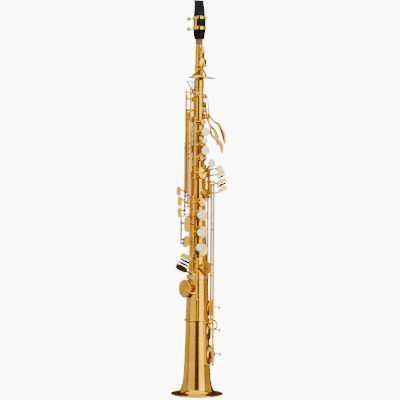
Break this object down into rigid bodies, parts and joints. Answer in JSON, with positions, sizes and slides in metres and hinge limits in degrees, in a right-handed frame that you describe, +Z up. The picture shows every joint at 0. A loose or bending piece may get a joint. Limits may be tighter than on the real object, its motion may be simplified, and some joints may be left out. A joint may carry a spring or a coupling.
{
  "type": "soprano saxophone",
  "caption": "Straight soprano saxophone in gold lacquer with keywork, pearl touches, side keys, ligature and black mouthpiece, standing on its bell.",
  "frame": {"origin": "on the tube's axis in the plane of the bell rim", "axes": "+Z up along the tube to the mouthpiece tip, -Y the side of the key stacks, +X the side of the low B and B flat cups"},
  "size_m": [0.0969, 0.0926, 0.695],
  "materials": {
    "lacquer": "clear gold lacquer, polished",
    "pale_lacquer": "paler gold lacquer, polished",
    "steel": "bright ground steel",
    "pearl": "mother-of-pearl, polished",
    "ebonite": "polished black hard rubber",
    "roller_resin": "polished black resin",
    "cork": "reddish brown cork",
    "cane": "dry cane"
  },
  "bodies": {
    "tube_assembly": {"main_tube": "lacquer", "bell_section": "lacquer", "body_joint_ring": "pale_lacquer", "neck_tube": "lacquer", "neck_cork": "cork", "upper_stack_rib": "lacquer", "lower_stack_rib": "lacquer", "upper_stack_rod": "steel", "lower_stack_rod": "steel", "left_side_rib": "lacquer", "right_side_rib": "lacquer", "bell_posts": "lacquer", "little_finger_rib": "lacquer", "palm_key_saddle": "lacquer", "thumb_rest_rib": "lacquer", "thumb_hook": "lacquer", "strap_ring": "lacquer", "bell_key_guard": "lacquer"},
    "mouthpiece_assembly": {"mouthpiece": "ebonite", "reed": "cane", "ligature": "lacquer"},
    "ligature_screw_lower": {"ligature_screw_lower": "pale_lacquer"},
    "ligature_screw_upper": {"ligature_screw_upper": "pale_lacquer"},
    "b_key": {"b_key": "lacquer", "b_key_pearl": "pearl"},
    "bis_key": {"bis_key": "lacquer", "bis_key_pearl": "pearl"},
    "a_key": {"a_key": "lacquer", "a_key_pearl": "pearl"},
    "g_key": {"g_key": "lacquer", "g_key_pearl": "pearl"},
    "small_c_cup_key": {"small_c_cup_key": "lacquer"},
    "f_key": {"f_key": "lacquer", "f_key_pearl": "pearl"},
    "e_key": {"e_key": "lacquer", "e_key_pearl": "pearl"},
    "d_key": {"d_key": "lacquer", "d_key_pearl": "pearl"},
    "small_f_sharp_cup_key": {"small_f_sharp_cup_key": "lacquer"},
    "side_e_key": {"side_e_key": "lacquer"},
    "side_c_key": {"side_c_key": "lacquer"},
    "side_bb_key": {"side_bb_key": "lacquer"},
    "high_f_sharp_key": {"high_f_sharp_key": "lacquer"},
    "f_sharp_trill_key": {"f_sharp_trill_key": "lacquer"},
    "g_sharp_key": {"g_sharp_key": "lacquer"},
    "low_c_sharp_key": {"low_c_sharp_key": "lacquer"},
    "eb_key": {"eb_key": "lacquer"},
    "low_c_key": {"low_c_key": "lacquer"},
    "low_b_key": {"low_b_key": "lacquer"},
    "low_bb_key": {"low_bb_key": "lacquer"},
    "palm_d_key": {"palm_d_key": "lacquer"},
    "palm_f_key": {"palm_f_key": "lacquer"},
    "palm_eb_key": {"palm_eb_key": "lacquer"},
    "octave_thumb_key": {"octave_thumb_key": "lacquer"},
    "body_octave_key": {"body_octave_key": "lacquer"},
    "neck_octave_key": {"neck_octave_key": "lacquer"},
    "eb_key_roller": {"eb_key_roller": "roller_resin"},
    "low_c_key_roller": {"low_c_key_roller": "roller_resin"},
    "table_roller_short": {"table_roller_short": "roller_resin"},
    "table_roller_long": {"table_roller_long": "roller_resin"}
  },
  "joints": [
    {"name": "mouthpiece_slide", "type": "slide", "parent": "tube_assembly", "child": "mouthpiece_assembly", "axis": [0, 0, 1], "range_m": [-0.003, 0.006]},
    {"name": "ligature_screw_lower_turn", "type": "hinge", "parent": "mouthpiece_assembly", "child": "ligature_screw_lower", "pos_m": [-0.00367, 0.01372, 0.64375], "axis": [-0.9659, -0.2588, 0], "continuous": true},
    {"name": "ligature_screw_upper_turn", "type": "hinge", "parent": "mouthpiece_assembly", "child": "ligature_screw_upper", "pos_m": [-0.00367, 0.01372, 0.662], "axis": [-0.9659, -0.2588, 0], "continuous": true},
    {"name": "b_key_hinge", "type": "hinge", "parent": "tube_assembly", "child": "b_key", "pos_m": [-0.0062, -0.0164, 0.4605], "axis": [0, 0, 1], "range_deg": [0, 6], "stiffness_Nm_per_rad": 0.05, "springref_deg": -8.59},
    {"name": "bis_key_hinge", "type": "hinge", "parent": "tube_assembly", "child": "bis_key", "pos_m": [-0.0062, -0.0164, 0.4385], "axis": [0, 0, 1], "range_deg": [0, 6], "stiffness_Nm_per_rad": 0.05, "springref_deg": -8.59},
    {"name": "a_key_hinge", "type": "hinge", "parent": "tube_assembly", "child": "a_key", "pos_m": [-0.0062, -0.0164, 0.4166], "axis": [0, 0, 1], "range_deg": [0, 6], "stiffness_Nm_per_rad": 0.05, "springref_deg": -8.59},
    {"name": "g_key_hinge", "type": "hinge", "parent": "tube_assembly", "child": "g_key", "pos_m": [-0.0062, -0.0164, 0.3895], "axis": [0, 0, 1], "range_deg": [0, 6], "stiffness_Nm_per_rad": 0.05, "springref_deg": -8.59},
    {"name": "small_c_cup_key_hinge", "type": "hinge", "parent": "tube_assembly", "child": "small_c_cup_key", "pos_m": [-0.0062, -0.0164, 0.478], "axis": [0, 0, 1], "range_deg": [0, 6], "stiffness_Nm_per_rad": 0.05, "springref_deg": -8.59},
    {"name": "f_key_hinge", "type": "hinge", "parent": "tube_assembly", "child": "f_key", "pos_m": [-0.0086, -0.0196, 0.315], "axis": [0, 0, 1], "range_deg": [0, 6], "stiffness_Nm_per_rad": 0.05, "springref_deg": -8.59},
    {"name": "e_key_hinge", "type": "hinge", "parent": "tube_assembly", "child": "e_key", "pos_m": [-0.0086, -0.0196, 0.2855], "axis": [0, 0, 1], "range_deg": [0, 6], "stiffness_Nm_per_rad": 0.05, "springref_deg": -8.59},
    {"name": "d_key_hinge", "type": "hinge", "parent": "tube_assembly", "child": "d_key", "pos_m": [-0.0086, -0.0196, 0.2547], "axis": [0, 0, 1], "range_deg": [0, 6], "stiffness_Nm_per_rad": 0.05, "springref_deg": -8.59},
    {"name": "small_f_sharp_cup_key_hinge", "type": "hinge", "parent": "tube_assembly", "child": "small_f_sharp_cup_key", "pos_m": [-0.0086, -0.0196, 0.3375], "axis": [0, 0, 1], "range_deg": [0, 6], "stiffness_Nm_per_rad": 0.05, "springref_deg": -8.59},
    {"name": "side_e_key_hinge", "type": "hinge", "parent": "tube_assembly", "child": "side_e_key", "pos_m": [-0.0222, -0.002, 0.3555], "axis": [0, 0, 1], "range_deg": [0, 7], "stiffness_Nm_per_rad": 0.05, "springref_deg": -8.59},
    {"name": "side_c_key_hinge", "type": "hinge", "parent": "tube_assembly", "child": "side_c_key", "pos_m": [-0.0182, -0.008, 0.3365], "axis": [0, 0, 1], "range_deg": [0, 7], "stiffness_Nm_per_rad": 0.05, "springref_deg": -8.59},
    {"name": "side_bb_key_hinge", "type": "hinge", "parent": "tube_assembly", "child": "side_bb_key", "pos_m": [-0.0235, 0.0045, 0.322], "axis": [0, 0, 1], "range_deg": [0, 7], "stiffness_Nm_per_rad": 0.05, "springref_deg": -8.59},
    {"name": "high_f_sharp_key_hinge", "type": "hinge", "parent": "tube_assembly", "child": "high_f_sharp_key", "pos_m": [-0.014, -0.0124, 0.3145], "axis": [0, 0, -1], "range_deg": [0, 7], "stiffness_Nm_per_rad": 0.05, "springref_deg": -8.59},
    {"name": "f_sharp_trill_key_hinge", "type": "hinge", "parent": "tube_assembly", "child": "f_sharp_trill_key", "pos_m": [-0.0295, -0.0045, 0.272], "axis": [0, 0, 1], "range_deg": [0, 7], "stiffness_Nm_per_rad": 0.05, "springref_deg": -8.59},
    {"name": "g_sharp_key_hinge", "type": "hinge", "parent": "tube_assembly", "child": "g_sharp_key", "pos_m": [0.0196, 0.002, 0.375], "axis": [0, 0, 1], "range_deg": [0, 7], "stiffness_Nm_per_rad": 0.05, "springref_deg": -8.59},
    {"name": "low_c_sharp_key_hinge", "type": "hinge", "parent": "tube_assembly", "child": "low_c_sharp_key", "pos_m": [0.0174, 0.0186, 0.26], "axis": [0, 0, 1], "range_deg": [0, 5], "stiffness_Nm_per_rad": 0.05, "springref_deg": -8.59},
    {"name": "eb_key_hinge", "type": "hinge", "parent": "tube_assembly", "child": "eb_key", "pos_m": [-0.002, -0.0248, 0.228], "axis": [0, 0, -1], "range_deg": [0, 5], "stiffness_Nm_per_rad": 0.05, "springref_deg": -8.59},
    {"name": "low_c_key_hinge", "type": "hinge", "parent": "tube_assembly", "child": "low_c_key", "pos_m": [-0.002, -0.0248, 0.186], "axis": [0, 0, -1], "range_deg": [0, 11], "stiffness_Nm_per_rad": 0.05, "springref_deg": -8.59},
    {"name": "low_b_key_hinge", "type": "hinge", "parent": "tube_assembly", "child": "low_b_key", "pos_m": [0.023, -0.0182, 0.25], "axis": [0, 0, 1], "range_deg": [0, 5], "stiffness_Nm_per_rad": 0.05, "springref_deg": -8.59},
    {"name": "low_bb_key_hinge", "type": "hinge", "parent": "tube_assembly", "child": "low_bb_key", "pos_m": [0.0273, -0.0218, 0.215], "axis": [0, 0, 1], "range_deg": [0, 5], "stiffness_Nm_per_rad": 0.05, "springref_deg": -8.59},
    {"name": "palm_d_key_hinge", "type": "hinge", "parent": "tube_assembly", "child": "palm_d_key", "pos_m": [0.01589, -0.00845, 0.487], "axis": [0.4695, 0.8829, 0], "range_deg": [0, 6], "stiffness_Nm_per_rad": 0.05, "springref_deg": -11.46},
    {"name": "palm_f_key_hinge", "type": "hinge", "parent": "tube_assembly", "child": "palm_f_key", "pos_m": [0.01793, 0.00157, 0.492], "axis": [-0.0872, 0.9962, 0], "range_deg": [0, 6], "stiffness_Nm_per_rad": 0.05, "springref_deg": -11.46},
    {"name": "palm_eb_key_hinge", "type": "hinge", "parent": "tube_assembly", "child": "palm_eb_key", "pos_m": [0.01418, 0.01108, 0.487], "axis": [-0.6157, 0.788, 0], "range_deg": [0, 6], "stiffness_Nm_per_rad": 0.05, "springref_deg": -11.46},
    {"name": "octave_thumb_key_hinge", "type": "hinge", "parent": "tube_assembly", "child": "octave_thumb_key", "pos_m": [-0.003, 0.0186, 0.46], "axis": [0, 0, -1], "range_deg": [0, 6], "stiffness_Nm_per_rad": 0.05, "springref_deg": -11.46},
    {"name": "body_octave_key_hinge", "type": "hinge", "parent": "tube_assembly", "child": "body_octave_key", "pos_m": [0.00629, 0.01558, 0.478], "axis": [-0.9272, 0.3746, 0], "range_deg": [0, 6], "stiffness_Nm_per_rad": 0.02, "springref_deg": -8.59},
    {"name": "neck_octave_key_hinge", "type": "hinge", "parent": "tube_assembly", "child": "neck_octave_key", "pos_m": [0, -0.0136, 0.577], "axis": [1, 0, 0], "range_deg": [0, 4.8], "stiffness_Nm_per_rad": 0.04, "springref_deg": -8.59},
    {"name": "eb_key_roller_turn", "type": "hinge", "parent": "eb_key", "child": "eb_key_roller", "pos_m": [-0.02226, -0.02519, 0.23561], "axis": [0.8645, -0.2156, -0.454], "continuous": true},
    {"name": "low_c_key_roller_turn", "type": "hinge", "parent": "low_c_key", "child": "low_c_key_roller", "pos_m": [-0.02435, -0.02891, 0.23062], "axis": [0.8898, -0.0466, -0.454], "continuous": true},
    {"name": "table_roller_short_turn", "type": "hinge", "parent": "low_c_sharp_key", "child": "table_roller_short", "pos_m": [0.0399, -0.01972, 0.383], "axis": [0.8333, 0.3367, 0.4384], "continuous": true},
    {"name": "table_roller_long_turn", "type": "hinge", "parent": "low_b_key", "child": "table_roller_long", "pos_m": [0.04138, -0.02067, 0.36862], "axis": [0.8595, 0.2628, 0.4384], "continuous": true}
  ],
  "couplings": [
    {"joint": "small_c_cup_key_hinge", "follows": "a_key_hinge", "ratio": 1},
    {"joint": "small_f_sharp_cup_key_hinge", "follows": "f_key_hinge", "ratio": 1},
    {"joint": "body_octave_key_hinge", "follows": "octave_thumb_key_hinge", "ratio": 1},
    {"joint": "neck_octave_key_hinge", "follows": "octave_thumb_key_hinge", "ratio": 0.8}
  ]
}
